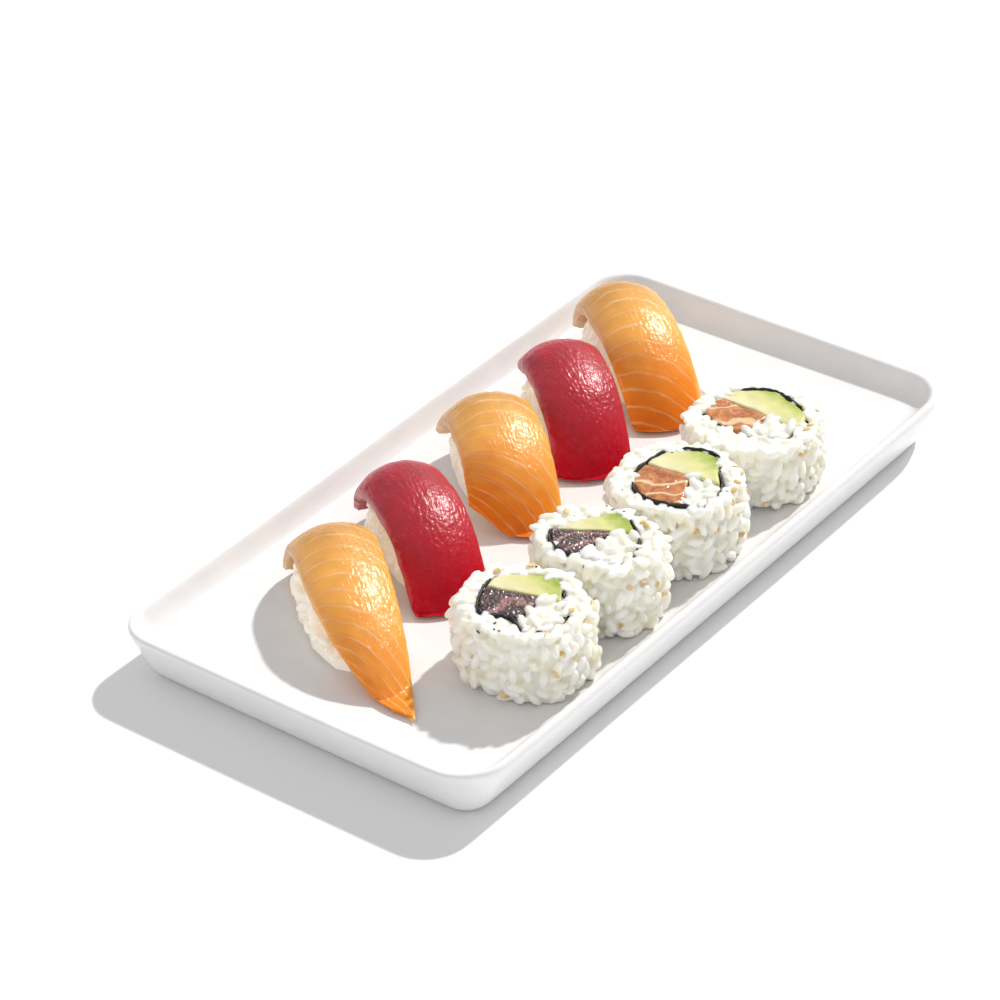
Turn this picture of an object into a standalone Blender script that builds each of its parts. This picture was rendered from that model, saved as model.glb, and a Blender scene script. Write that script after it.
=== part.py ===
"""A nigiri platter: a rectangular stoneware platter that holds five nigiri and four inside-out rolls.

Metres, +Z up. The origin is under the middle of the platter, on the surface that it stands on. X runs along the
platter's length. The row of rolls stands on its -Y side and the row of nigiri on its +Y side.
"""

import math

import bmesh
import bpy
from mathutils import Matrix, Vector, noise
from mathutils.bvhtree import BVHTree

MM = 0.001
CONTACT_GAP = 0.3 * MM  # clear space between two pieces that touch
LUMP_SPACING = 6 * MM  # size of the lumps in the rice's outline

# Platter: sizes at the crest of the rim, which is the widest place.
RIM_LENGTH = 260 * MM
RIM_WIDTH = 142.5 * MM
RIM_HEIGHT = 19 * MM
FLOOR_HEIGHT = 10.8 * MM
# Radii of the rim's corners, anticlockwise from the +X +Y one.
CORNER_RADII = (17 * MM, 15 * MM, 15 * MM, 16 * MM)
CORNER_STEPS = 7
LONG_RUN_STEPS = 12
SHORT_RUN_STEPS = 7
RIM_RISE = 0.45 * MM  # how far the hand-made rim waves up and down
RIM_DRIFT = 0.6 * MM  # how far its sides wander in and out

# Section through the platter's wall, from the recess under the foot, round the outside, to the inner floor:
# distance in from the crest and height, both in mm, then how much of the rim's waviness the place takes.
WALL_SECTION = (
    (14.7, 5.0, 0.0),
    (13.8, 3.8, 0.0),
    (13.2, 0.0, 0.0),
    (9.4, 0.0, 0.0),
    (6.9, 1.1, 0.1),
    (4.4, 5.2, 0.3),
    (2.1, 11.0, 0.6),
    (0.5, 15.6, 1.0),
    (0.0, 17.6, 1.0),
    (0.5, 18.7, 1.0),
    (1.6, 19.0, 1.0),
    (2.8, 18.4, 1.0),
    (4.2, 15.6, 0.8),
    (6.4, 12.4, 0.4),
    (9.6, 10.9, 0.1),
    (13.0, 10.8, 0.0),
)


def smooth_step(value):
    value = min(max(value, 0.0), 1.0)
    return value * value * (3.0 - 2.0 * value)


def flat_color(red, green, blue):
    return (red, green, blue, 1.0)


MATERIALS = {
    "glazed_stoneware": (flat_color(0.86, 0.86, 0.87), 0.25),
    "cooked_rice": (flat_color(0.85, 0.83, 0.76), 0.45),
    "salmon": (flat_color(0.88, 0.38, 0.08), 0.3),
    "tuna": (flat_color(0.55, 0.01, 0.03), 0.3),
    "avocado": (flat_color(0.68, 0.72, 0.28), 0.5),
    "nori": (flat_color(0.01, 0.012, 0.01), 0.6),
}


def material(name):
    found = bpy.data.materials.get(name)
    if found:
        return found
    color, roughness = MATERIALS[name]
    made = bpy.data.materials.new(name)
    made.use_nodes = True
    shader = made.node_tree.nodes["Principled BSDF"]
    shader.inputs["Base Color"].default_value = color
    shader.inputs["Roughness"].default_value = roughness
    shader.inputs["Metallic"].default_value = 0.0
    return made


def add_object(name, bm, material_name, place=None):
    """Makes the mesh an object of the platter's collection, turned and moved by the matrix `place`."""
    bmesh.ops.recalc_face_normals(bm, faces=bm.faces)
    if bm.calc_volume(signed=True) < 0:
        bmesh.ops.reverse_faces(bm, faces=bm.faces)
    mesh = bpy.data.meshes.new(name)
    bm.to_mesh(mesh)
    bm.free()
    mesh.shade_smooth()
    mesh.set_sharp_from_angle(angle=math.radians(40))
    mesh.materials.append(material(material_name))
    made = bpy.data.objects.new(name, mesh)
    made.matrix_world = place or Matrix.Identity(4)
    bpy.data.collections["nigiri_platter"].objects.link(made)
    return made


def join_rings(bm, first, second):
    """A band of faces between two closed rings with the same number of points."""
    for place in range(len(first)):
        bm.faces.new((first[place - 1], first[place], second[place], second[place - 1]))


# ---------------------------------------------------------------- platter


def rim_wave(around):
    """The rim's unevenness at a place, given as a fraction of the way round: its rise and its outward drift."""
    turn = 2 * math.pi * around
    rise = math.sin(2 * turn + 0.6) + 0.5 * math.sin(5 * turn + 2.1)
    drift = math.sin(3 * turn + 1.2) + 0.5 * math.sin(7 * turn)
    return rise * RIM_RISE / 1.5, drift * RIM_DRIFT / 1.5


def rounded_rectangle(inset):
    """Points and outward directions, anticlockwise, of the rim's outline drawn in by `inset`."""
    points = []
    for corner, radius in enumerate(CORNER_RADII):
        side_x = 1 if corner in (0, 3) else -1
        side_y = 1 if corner in (0, 1) else -1
        centre = Vector((side_x * (RIM_LENGTH / 2 - radius), side_y * (RIM_WIDTH / 2 - radius), 0))
        for step in range(CORNER_STEPS + 1):
            angle = math.radians(90 * (corner + step / CORNER_STEPS))
            outward = Vector((math.cos(angle), math.sin(angle), 0))
            points.append((centre + outward * (radius - inset), outward))
    outline = []
    for number, (point, outward) in enumerate(points):
        outline.append((point, outward))
        if number % (CORNER_STEPS + 1) < CORNER_STEPS:
            continue
        following = points[(number + 1) % len(points)][0]
        run_steps = LONG_RUN_STEPS if abs(outward.y) > 0.5 else SHORT_RUN_STEPS
        for step in range(1, run_steps):
            outline.append((point.lerp(following, step / run_steps), outward))
    return outline


def add_platter():
    bm = bmesh.new()
    rings = []
    for inset, height, waviness in WALL_SECTION:
        outline = rounded_rectangle(inset * MM)
        ring = []
        for number, (point, outward) in enumerate(outline):
            rise, drift = rim_wave(number / len(outline))
            spot = point + outward * drift * waviness
            spot.z = height * MM + rise * waviness
            ring.append(bm.verts.new(spot))
        if rings:
            join_rings(bm, rings[-1], ring)
        rings.append(ring)
    bm.faces.new(rings[0])
    bm.faces.new(rings[-1])
    add_object("platter", bm, "glazed_stoneware")


# ---------------------------------------------------------------- nigiri

SPINE_STEPS = 24
SLICE_SEGMENTS = (16, 6)
BEND_POWER = 0.75  # under 1 the slice's bending starts closer to its crown
SKEW_POWER = 1.5  # how late along the slice its ends begin to slant
TAPER_POWER = 2.5  # how late along the slice it narrows
EDGE_THINNING = 0.45  # how much thinner the slice is at its edges than in its middle
END_THINNING_POWER = 6
SIDE_THINNING_POWER = 4
SIDE_LEAN = 0.8  # how squarely the slice's side faces stand on its arched underside
LOWEST_BACK = 1.6  # mm of flesh under the slice's back where it lies on the platter

COVER_SEGMENTS = (40, 20)
COVER_PAST_ENDS = 1.25  # the mound is also kept under the slice as it would go on past its ends and sides
COVER_PAST_SIDES = 1.3
RICE_CLEARANCE = 0.8 * MM  # from a mound's corners to the slice, whose flat facets cut across its own curve
MOUND_BOXINESS = 0.72  # 1 is an ellipsoid, and 0 a box
MOUND_MIDDLE = 0.25  # height of the mound's middle, as a share of its own
MOUND_LUMPS = 1.6 * MM
FOOT_CUT = -0.03  # where the unit sphere is cut, just under its widest ring of corners
FOOT_LEVEL = 0.01  # corners of the unit sphere lower than this lie on the platter

# Each nigiri has its own frame. X runs along it, from the end near the rolls to the far end. Z is up from the
# platter's floor, and the origin is under the slice's crown. Lengths are in mm and angles in degrees.
# `heading` turns the frame. From its crown the slice's back bends down by `near_bend` over `near_reach`, and by
# `far_bend` over `far_reach`. A skew is how much further on the slanting end lies at the left edge than in the
# middle. An end's width is its share of the full width. A drift carries an end to the left.
FISH_THICKNESS = {"salmon": 5.5, "tuna": 6.5}
# All five follow the usual nigiri. Each one gives its own place, and only what is different about it.
USUAL_NIGIRI = {
    "width": 28, "crown": 27, "arch": 45,
    "near_reach": 54, "near_bend": 62, "near_skew": 0, "near_width": 0.95, "near_drift": 0,
    "far_reach": 36, "far_bend": 76, "far_skew": 0, "far_width": 0.8, "far_drift": 0,
    "rice": (58, 29, 21), "rice_shift": -6,
}
NIGIRI = {
    "nigiri_1": {
        "fish": "salmon", "at": (-72, 27), "heading": 52, "crown": 25,
        "near_reach": 70, "near_bend": 46, "near_skew": 12, "near_width": 0.4, "near_drift": -3,
        "far_skew": 7, "far_drift": 2, "rice": (62, 31, 20), "rice_shift": -9,
    },
    "nigiri_2": {
        "fish": "tuna", "at": (-35, 29), "heading": 62,
        "near_bend": 57, "near_drift": 2, "far_bend": 80,
    },
    "nigiri_3": {
        "fish": "salmon", "at": (12, 32), "heading": 55, "width": 30,
        "near_skew": 17, "near_drift": 3, "far_reach": 32,
    },
    "nigiri_4": {
        "fish": "tuna", "at": (51, 32), "heading": 55, "near_skew": 3, "near_drift": 2,
        "far_reach": 32, "far_skew": -3, "far_width": 0.75,
    },
    "nigiri_5": {
        "fish": "salmon", "at": (90, 36), "heading": 57, "crown": 28, "arch": 50,
        "near_reach": 58, "near_bend": 52, "far_skew": 5, "rice": (58, 29, 22),
    },
}


def nigiri_spec(name):
    own = NIGIRI[name]
    return {**USUAL_NIGIRI, "thickness": FISH_THICKNESS[own["fish"]], **own}


def spine_point(spec, along):
    """The place on the slice's back `along` mm past the crown, and how far it has bent down there."""
    side = "far" if along > 0 else "near"
    reach = spec[side + "_reach"]
    bend = math.radians(spec[side + "_bend"])
    steps = max(1, math.ceil(SPINE_STEPS * abs(along) / reach))
    step = abs(along) / steps
    x, z, angle = 0.0, spec["crown"], 0.0
    for number in range(steps):
        angle = bend * smooth_step((number + 0.5) * step / reach) ** BEND_POWER
        x += step * math.cos(angle)
        z -= step * math.sin(angle)
    turned = bend * smooth_step(abs(along) / reach) ** BEND_POWER
    return (x, z, turned) if along > 0 else (-x, z, -turned)


def slice_point(spec, u, v, depth):
    """A point of the slice: u from the near end, -1, to the far end, 1, v from the right edge, -1, to the left
    one, 1, and depth from the back, 0, to the underside, 1."""
    end = "far" if u > 0 else "near"
    along = u * spec[end + "_reach"] + abs(u) ** SKEW_POWER * spec[end + "_skew"] * v
    x, z, turned = spine_point(spec, along)
    end_width = spec[end + "_width"]
    half_width = spec["width"] / 2 * (1 - (1 - end_width) * abs(u) ** TAPER_POWER)
    arch = math.radians(spec["arch"])
    across = half_width * math.sin(v * arch) / math.sin(arch)
    drop = half_width * (1 - math.cos(v * arch)) / math.sin(arch)
    edge = min(1, max(abs(u) ** END_THINNING_POWER, abs(v) ** SIDE_THINNING_POWER))
    below = depth * spec["thickness"] * (1 - EDGE_THINNING * edge)
    sink = drop + below
    side = across - below * math.sin(v * arch) * SIDE_LEAN
    drift = spec["near_drift"] * max(0.0, -u) ** 2 + spec["far_drift"] * max(0.0, u) ** 2
    x -= sink * math.sin(turned)
    z -= sink * math.cos(turned)
    rest = CONTACT_GAP / MM + (1 - depth) * LOWEST_BACK
    return Vector((x, side + drift, max(z, rest))) * MM


def slab(segments_along, segments_across):
    """A flat slab from -1 to 1 along X and Y, from Z 0 down to Z -1."""
    bm = bmesh.new()
    bmesh.ops.create_grid(bm, x_segments=segments_along, y_segments=segments_across, size=1.0)
    made = bmesh.ops.extrude_face_region(bm, geom=bm.faces[:])
    lower = [item for item in made["geom"] if isinstance(item, bmesh.types.BMVert)]
    bmesh.ops.translate(bm, verts=lower, vec=(0, 0, -1))
    return bm


def slice_mesh(spec, segments=SLICE_SEGMENTS, past_ends=1.0, past_sides=1.0):
    """The slice, or with factors over 1 the slice as it would go on past its own edges."""
    bm = slab(*segments)
    for vert in bm.verts:
        u, v, z = vert.co
        vert.co = slice_point(spec, u * past_ends, v * past_sides, -z)
    return bm


def kept_under(cover, middle, spot):
    """A point of the mound, drawn in towards its middle until it is clear of the slice above it."""
    direction = (spot - middle).normalized()
    reach = (spot - middle).length
    hit, _, _, distance = cover.ray_cast(middle, direction)
    if hit is not None:
        reach = min(reach, distance)
    while cover.find_nearest(middle + direction * reach)[3] < RICE_CLEARANCE:
        reach -= RICE_CLEARANCE / 4
    return middle + direction * reach


def seed_of(name):
    """A number that differs from piece to piece, so that no two are equally uneven."""
    return sum(ord(letter) * (place + 1) for place, letter in enumerate(name)) % 97


def rice_mesh(spec, name):
    """A pressed mound of rice with an uneven outline, kept just under the slice that lies on it."""
    length, width, height = spec["rice"]
    bm = bmesh.new()
    bmesh.ops.create_icosphere(bm, subdivisions=3, radius=1.0)
    geometry = bm.verts[:] + bm.edges[:] + bm.faces[:]
    foot = Vector((0, 0, FOOT_CUT))
    cut = bmesh.ops.bisect_plane(bm, geom=geometry, plane_co=foot, plane_no=(0, 0, 1), clear_inner=True)
    rim = [item for item in cut["geom_cut"] if isinstance(item, bmesh.types.BMEdge)]
    bmesh.ops.contextual_create(bm, geom=rim)
    cover = BVHTree.FromBMesh(slice_mesh(spec, COVER_SEGMENTS, COVER_PAST_ENDS, COVER_PAST_SIDES))
    middle = Vector((spec["rice_shift"], 0, height * MOUND_MIDDLE)) * MM
    variety = Vector((len(name), seed_of(name), 0))
    for vert in bm.verts:
        x, y, z = (math.copysign(abs(value) ** MOUND_BOXINESS, value) for value in vert.co)
        spot = Vector((x * length / 2 + spec["rice_shift"], y * width / 2, z * height)) * MM
        lump = noise.noise(spot / LUMP_SPACING + variety) * MOUND_LUMPS
        spot += (spot - middle).normalized() * lump
        if vert.co.z < FOOT_LEVEL:
            foot = Vector((middle.x, middle.y, RICE_CLEARANCE))
            spot = kept_under(cover, foot, Vector((spot.x, spot.y, foot.z)))
            spot.z = 0
        else:
            spot = kept_under(cover, middle, spot)
        vert.co = (spot.x, spot.y, max(spot.z, 0) + CONTACT_GAP)
    return bm


def add_nigiri(name, spec):
    place = Matrix.Translation((spec["at"][0] * MM, spec["at"][1] * MM, FLOOR_HEIGHT))
    place = place @ Matrix.Rotation(math.radians(spec["heading"]), 4, "Z")
    add_object(name + "_" + spec["fish"], slice_mesh(spec), spec["fish"], place)
    add_object(name + "_rice", rice_mesh(spec, name), "cooked_rice", place)


# ---------------------------------------------------------------- rolls

# The filling's outline is in mm from the roll's middle, anticlockwise. Two straight cuts divide it. The first
# parts the avocado, on its left, from the rest. The second parts the fish, on its left, from the inner rice.
# `seam` is the number of the outline's point at which the strip of nori is open.
ROLLS = {
    "roll_1": {
        "fish": "tuna", "at": (-66.5, -41), "half_size": (19.5, 22.5), "tilt": 0, "height": 25.5,
        "filling": (
            (2, 14), (-8, 10), (-11, 5), (-8, -2), (-11, -10), (-7, -15), (2, -15), (8, -9), (15, -2), (8, 12),
        ),
        "avocado_cut": ((0, 14), (6, -9)), "fish_cut": ((-7, -5), (4, -4)), "seam": 6,
    },
    "roll_2": {
        "fish": "tuna", "at": (-28, -41), "half_size": (17.5, 22), "tilt": 6, "height": 26.5,
        "filling": (
            (-4, 14), (-9, 11), (-12, 4), (-10, -5), (-9, -12), (-3, -14), (5, -11), (13, -1), (13, 3), (4, 10),
        ),
        "avocado_cut": ((-3, 12), (7, -6)), "fish_cut": ((-8, -1), (4, -2)), "seam": 5,
    },
    "roll_3": {
        "fish": "salmon", "at": (12, -41), "half_size": (21, 22), "tilt": 0, "height": 26,
        "filling": (
            (1, 12), (-6, 11), (-12, 6), (-14, -2), (-11, -11), (-6, -17),
            (3, -15), (9, -10), (16, -5), (16, 2), (11, 10),
        ),
        "avocado_cut": ((1, 12), (4, -10)), "fish_cut": ((-9, -10), (2, -4)), "seam": 5,
    },
    "roll_4": {
        "fish": "salmon", "at": (57, -39), "half_size": (21, 23), "tilt": 0, "height": 23,
        "filling": (
            (1, 16), (-6, 14), (-9, 6), (-8, -4), (-5, -14), (2, -15), (10, -14), (15, -4), (16, 4), (9, 14),
        ),
        "avocado_cut": ((4, 15), (3, -15)), "fish_cut": ((-8, -3), (3, -4)), "seam": 5,
    },
}
SPAN_STEPS = 4  # points of the smooth outline for each of the filling's points
NORI_THICKNESS = 0.6 * MM
ROLL_SQUARENESS = 2.3  # exponent of the superellipse of a roll's outside: 2 is an ellipse
ROLL_LAYERS = (0.0, 0.18, 0.5, 0.8, 1.0)  # heights of the rings of its outside, as shares of its own height
EDGE_ROUNDING = 2.2 * MM
ROLL_LUMPS = 1.3 * MM
MOST_WALL_SHARE = 0.4  # rounding and lumps take no more than this of the rice's thickness
SHARPEST_MITRE = 0.6  # cosine that limits how far a corner of an offset outline runs out


def smooth_outline(points):
    """Closed Catmull-Rom curve through points given in mm."""
    count = len(points)
    found = []
    for number in range(count):
        before, start, end, after = (Vector(points[(number + k) % count]) * MM for k in (-1, 0, 1, 2))
        for step in range(SPAN_STEPS):
            t = step / SPAN_STEPS
            bend = 2 * before - 5 * start + 4 * end - after
            twist = 3 * (start - end) + after - before
            found.append(0.5 * (2 * start + (end - before) * t + bend * t**2 + twist * t**3))
    return found


def offset_outline(outline, distance):
    """The anticlockwise outline moved outwards by `distance`, with mitred corners."""
    moved = []
    for number, point in enumerate(outline):
        before = (point - outline[number - 1]).normalized()
        after = (outline[(number + 1) % len(outline)] - point).normalized()
        outward = Vector((before.y + after.y, -before.x - after.x)).normalized()
        reach = distance / max(SHARPEST_MITRE, outward.dot(Vector((before.y, -before.x))))
        moved.append(point + outward * reach)
    return moved


def prism(outline, bottom, top):
    """An upright solid on a closed outline."""
    bm = bmesh.new()
    base = bm.faces.new([bm.verts.new((point.x, point.y, bottom)) for point in outline])
    made = bmesh.ops.extrude_face_region(bm, geom=[base])
    upper = [item for item in made["geom"] if isinstance(item, bmesh.types.BMVert)]
    bmesh.ops.translate(bm, verts=upper, vec=(0, 0, top - bottom))
    bmesh.ops.recalc_face_normals(bm, faces=bm.faces)
    return bm


def keep_side(bm, cut, side):
    """Cuts the solid along a line given by two points in mm, and keeps its left side, 1, or its right, -1."""
    start, end = (Vector((x, y, 0)) * MM for x, y in cut)
    run = (end - start).normalized()
    leftward = Vector((-run.y, run.x, 0)) * side
    geometry = bm.verts[:] + bm.edges[:] + bm.faces[:]
    spot = start + leftward * CONTACT_GAP / 2
    made = bmesh.ops.bisect_plane(bm, geom=geometry, plane_co=spot, plane_no=leftward, clear_inner=True)
    rim = [item for item in made["geom_cut"] if isinstance(item, bmesh.types.BMEdge)]
    bmesh.ops.contextual_create(bm, geom=rim)
    return bm


def nori_mesh(inner, outer, seam, top):
    """A strip wrapped once round the filling, open at its seam."""
    bm = bmesh.new()
    count = len(inner)
    pairs = []
    for step in range(1, count):
        number = (seam * SPAN_STEPS + step) % count
        across = (inner[number], outer[number])
        pairs.append([bm.verts.new((point.x, point.y, CONTACT_GAP)) for point in across])
    for first, second in zip(pairs, pairs[1:]):
        bm.faces.new((first[0], first[1], second[1], second[0]))
    made = bmesh.ops.extrude_face_region(bm, geom=bm.faces[:])
    upper = [item for item in made["geom"] if isinstance(item, bmesh.types.BMVert)]
    bmesh.ops.translate(bm, verts=upper, vec=(0, 0, top - CONTACT_GAP))
    return bm


def roll_side(spec, angle):
    """The roll's outside in the direction `angle`: a superellipse turned by the roll's tilt."""
    turned = angle - math.radians(spec["tilt"])
    long_part = abs(math.cos(turned) / (spec["half_size"][0] * MM)) ** ROLL_SQUARENESS
    wide_part = abs(math.sin(turned) / (spec["half_size"][1] * MM)) ** ROLL_SQUARENESS
    return (long_part + wide_part) ** (-1 / ROLL_SQUARENESS)


def outer_rice_mesh(spec, name, hole):
    """The thick ring of rice outside the nori, with an uneven outside and rounded edges."""
    bm = bmesh.new()
    height = spec["height"] * MM
    rings = []
    for layer in ROLL_LAYERS:
        level = CONTACT_GAP + layer * (height - CONTACT_GAP)
        ring = []
        for point in hole:
            side = roll_side(spec, math.atan2(point.y, point.x))
            wall = side - point.length
            edge = min(EDGE_ROUNDING, MOST_WALL_SHARE * wall) if layer in (0.0, 1.0) else 0.0
            outward = Vector((point.x, point.y, 0)).normalized()
            spot = outward * (side - edge)
            spot.z = level
            lump = noise.noise(spot / LUMP_SPACING + Vector((0, 0, seed_of(name))))
            spot += outward * lump * min(ROLL_LUMPS, MOST_WALL_SHARE * wall)
            ring.append(bm.verts.new(spot))
        rings.append(ring)
    for level in (height, CONTACT_GAP):
        rings.append([bm.verts.new((point.x, point.y, level)) for point in hole])
    for number, ring in enumerate(rings):
        join_rings(bm, rings[number - 1], ring)
    return bm


def add_roll(name, spec):
    place = Matrix.Translation((spec["at"][0] * MM, spec["at"][1] * MM, FLOOR_HEIGHT))
    filling = smooth_outline(spec["filling"])
    inside = offset_outline(filling, CONTACT_GAP)
    outside = offset_outline(filling, CONTACT_GAP + NORI_THICKNESS)
    hole = offset_outline(filling, 2 * CONTACT_GAP + NORI_THICKNESS)
    top = spec["height"] * MM
    add_object(name + "_outer_rice", outer_rice_mesh(spec, name, hole), "cooked_rice", place)
    add_object(name + "_nori", nori_mesh(inside, outside, spec["seam"], top), "nori", place)
    avocado = keep_side(prism(filling, CONTACT_GAP, top), spec["avocado_cut"], 1)
    add_object(name + "_avocado", avocado, "avocado", place)
    fish = keep_side(prism(filling, CONTACT_GAP, top), spec["avocado_cut"], -1)
    fish = keep_side(fish, spec["fish_cut"], 1)
    add_object(name + "_" + spec["fish"], fish, spec["fish"], place)
    rice = keep_side(prism(filling, CONTACT_GAP, top), spec["avocado_cut"], -1)
    rice = keep_side(rice, spec["fish_cut"], -1)
    add_object(name + "_inner_rice", rice, "cooked_rice", place)


def main():
    for old in list(bpy.data.objects):
        bpy.data.objects.remove(old)
    collection = bpy.data.collections.new("nigiri_platter")
    bpy.context.scene.collection.children.link(collection)
    add_platter()
    for name in NIGIRI:
        add_nigiri(name, nigiri_spec(name))
    for name, spec in ROLLS.items():
        add_roll(name, spec)


main()
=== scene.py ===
"""The looks of a nigiri platter: glazed stoneware with five nigiri and four inside-out rolls on it.

Metres, +Z up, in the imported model's frame. X runs along the platter, the rolls stand on its -Y side and the
nigiri on its +Y side. Lengths named in mm are turned to metres where a mesh takes them.
"""

import math
import random

import bmesh
import bpy
import numpy as np
from mathutils import Matrix, Vector, noise
from mathutils.bvhtree import BVHTree


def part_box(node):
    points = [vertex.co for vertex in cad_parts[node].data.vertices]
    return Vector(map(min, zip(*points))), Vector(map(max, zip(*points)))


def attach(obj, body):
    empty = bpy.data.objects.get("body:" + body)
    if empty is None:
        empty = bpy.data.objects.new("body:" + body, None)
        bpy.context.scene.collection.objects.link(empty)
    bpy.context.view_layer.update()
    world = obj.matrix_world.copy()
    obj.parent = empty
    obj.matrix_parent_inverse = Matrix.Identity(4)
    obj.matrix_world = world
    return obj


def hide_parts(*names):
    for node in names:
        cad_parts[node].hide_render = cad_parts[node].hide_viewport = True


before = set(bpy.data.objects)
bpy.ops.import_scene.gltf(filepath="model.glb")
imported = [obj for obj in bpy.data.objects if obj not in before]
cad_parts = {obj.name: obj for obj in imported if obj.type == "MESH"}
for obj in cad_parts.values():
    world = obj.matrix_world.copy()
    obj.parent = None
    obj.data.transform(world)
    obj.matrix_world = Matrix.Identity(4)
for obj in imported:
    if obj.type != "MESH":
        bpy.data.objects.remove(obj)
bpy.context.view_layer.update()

MM = 0.001
UP = Vector((0, 0, 1))


# ---------------------------------------------------------------- camera, light and floor

CAMERA_SPOT = (-0.746, -0.601, 0.671)
CAMERA_HEADING = math.radians(-50.2)
CAMERA_PITCH = math.radians(90 - 34.2)
CAMERA_ROLL = math.radians(-3.4)
CAMERA_LENS = 131  # mm
CAMERA_SENSOR = 36  # mm
CAMERA_NEAREST = 0.01

SUN_AZIMUTH = math.radians(-4)
SUN_ELEVATION = math.radians(45)
SUN_STRENGTH = 3.1
SUN_SPREAD = math.radians(2.6)
SUN_COLOR = (1.0, 0.985, 0.96)
REFLECTOR_AZIMUTH = math.radians(205)
REFLECTOR_ELEVATION = math.radians(14)
REFLECTOR_STRENGTH = 0.3
REFLECTOR_SPREAD = math.radians(60)
REFLECTOR_COLOR = (1, 1, 1)
FILL_STRENGTH = 0.58
FILL_COLOR = (0.98, 0.99, 1.0, 1.0)
FLOOR_REACH = 6.0  # from the middle to each side


def add_camera():
    data = bpy.data.cameras.new("camera")
    data.lens = CAMERA_LENS
    data.sensor_width = CAMERA_SENSOR
    data.clip_start = CAMERA_NEAREST
    camera = bpy.data.objects.new("camera", data)
    turn = Matrix.Rotation(CAMERA_HEADING, 4, "Z") @ Matrix.Rotation(CAMERA_PITCH, 4, "X")
    camera.matrix_world = Matrix.Translation(CAMERA_SPOT) @ turn @ Matrix.Rotation(CAMERA_ROLL, 4, "Z")
    bpy.context.scene.collection.objects.link(camera)
    bpy.context.scene.camera = camera


def add_sun(name, azimuth, elevation, strength, spread, color):
    data = bpy.data.lights.new(name, "SUN")
    data.energy = strength
    data.angle = spread
    data.color = color
    sun = bpy.data.objects.new(name, data)
    level = math.cos(elevation)
    towards = Vector((level * math.cos(azimuth), level * math.sin(azimuth), math.sin(elevation)))
    sun.rotation_mode = "QUATERNION"
    sun.rotation_quaternion = towards.to_track_quat("Z", "Y")
    bpy.context.scene.collection.objects.link(sun)


def add_light():
    """A fairly hard key light from the platter's +X end, a low white reflector opposite it, and a fill."""
    add_sun("sun", SUN_AZIMUTH, SUN_ELEVATION, SUN_STRENGTH, SUN_SPREAD, SUN_COLOR)
    add_sun("reflector", REFLECTOR_AZIMUTH, REFLECTOR_ELEVATION, REFLECTOR_STRENGTH, REFLECTOR_SPREAD,
            REFLECTOR_COLOR)
    world = bpy.data.worlds.new("studio")
    world.use_nodes = True
    fill = world.node_tree.nodes["Background"]
    fill.inputs["Color"].default_value = FILL_COLOR
    fill.inputs["Strength"].default_value = FILL_STRENGTH
    bpy.context.scene.world = world
    bpy.context.scene.view_settings.view_transform = "Standard"


def add_floor():
    bm = bmesh.new()
    bmesh.ops.create_grid(bm, x_segments=1, y_segments=1, size=FLOOR_REACH)
    mesh = bpy.data.meshes.new("floor")
    bm.to_mesh(mesh)
    bm.free()
    mesh.materials.append(studio_paper())
    floor = bpy.data.objects.new("floor", mesh)
    bpy.context.scene.collection.objects.link(floor)


# ---------------------------------------------------------------- material tools


def linear(code):
    """The linear colour, with an alpha of 1, of an sRGB hex value."""
    parts = [int(code[place:place + 2], 16) / 255 for place in (1, 3, 5)]
    parts = [part / 12.92 if part <= 0.04045 else ((part + 0.055) / 1.055) ** 2.4 for part in parts]
    return (*parts, 1.0)


def per_mm(size):
    """The scale that gives a texture features of `size` mm."""
    return 1 / (size * MM)


def set_sockets(tree, node, sockets):
    for name, value in sockets.items():
        if isinstance(value, bpy.types.NodeSocket):
            tree.links.new(value, node.inputs[name])
        else:
            node.inputs[name].default_value = value


def add_node(tree, kind, sockets=None, output=0, stops=(), **settings):
    """Adds a node with its settings, its sockets' values or links and its ramp's stops, and returns an
    output."""
    node = tree.nodes.new("ShaderNode" + kind)
    for name, value in settings.items():
        setattr(node, name, value)
    set_sockets(tree, node, sockets or {})
    for number, (position, value) in enumerate(stops):
        elements = node.color_ramp.elements
        element = elements[number] if number < 2 else elements.new(position)
        element.position = position
        element.color = value
    return node.outputs[output]


def new_material(name):
    """A material, its node tree, its Principled BSDF and its Object coordinates."""
    material = bpy.data.materials.new(name)
    material.use_nodes = True
    tree = material.node_tree
    return material, tree, tree.nodes["Principled BSDF"], add_node(tree, "TexCoord", output="Object")


# ---------------------------------------------------------------- materials

GRAIN_HEADING = math.radians(57)  # the way that the knife was drawn along the slices


def studio_paper():
    """Matt white background paper: even and without gloss."""
    material, tree, shader, _ = new_material("matt_white_paper")
    set_sockets(tree, shader, {"Base Color": linear("#f6f6f6"), "Roughness": 0.9, "Specular IOR Level": 0.1})
    return material


def white_glaze():
    """Stoneware dipped in a thick white glaze and fired: a clean white with a soft gloss, over faint waves of
    the hand-shaped clay."""
    material, tree, shader, place = new_material("fired_white_glaze")
    waves = add_node(tree, "TexNoise", {"Vector": place, "Scale": per_mm(28), "Detail": 1.0})
    pooling = add_node(tree, "TexNoise", {"Vector": place, "Scale": per_mm(9), "Detail": 3.0})
    color = add_node(tree, "ValToRGB", {"Fac": pooling}, stops=(
        (0.3, linear("#e8e7e8")), (0.7, linear("#edecec"))))
    bump = add_node(tree, "Bump", {"Height": waves, "Distance": 0.5 * MM, "Strength": 0.5})
    set_sockets(tree, shader, {
        "Base Color": color, "Roughness": 0.24, "IOR": 1.5, "Normal": bump,
        "Coat Weight": 0.15, "Coat Roughness": 0.08,
    })
    return material


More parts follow.
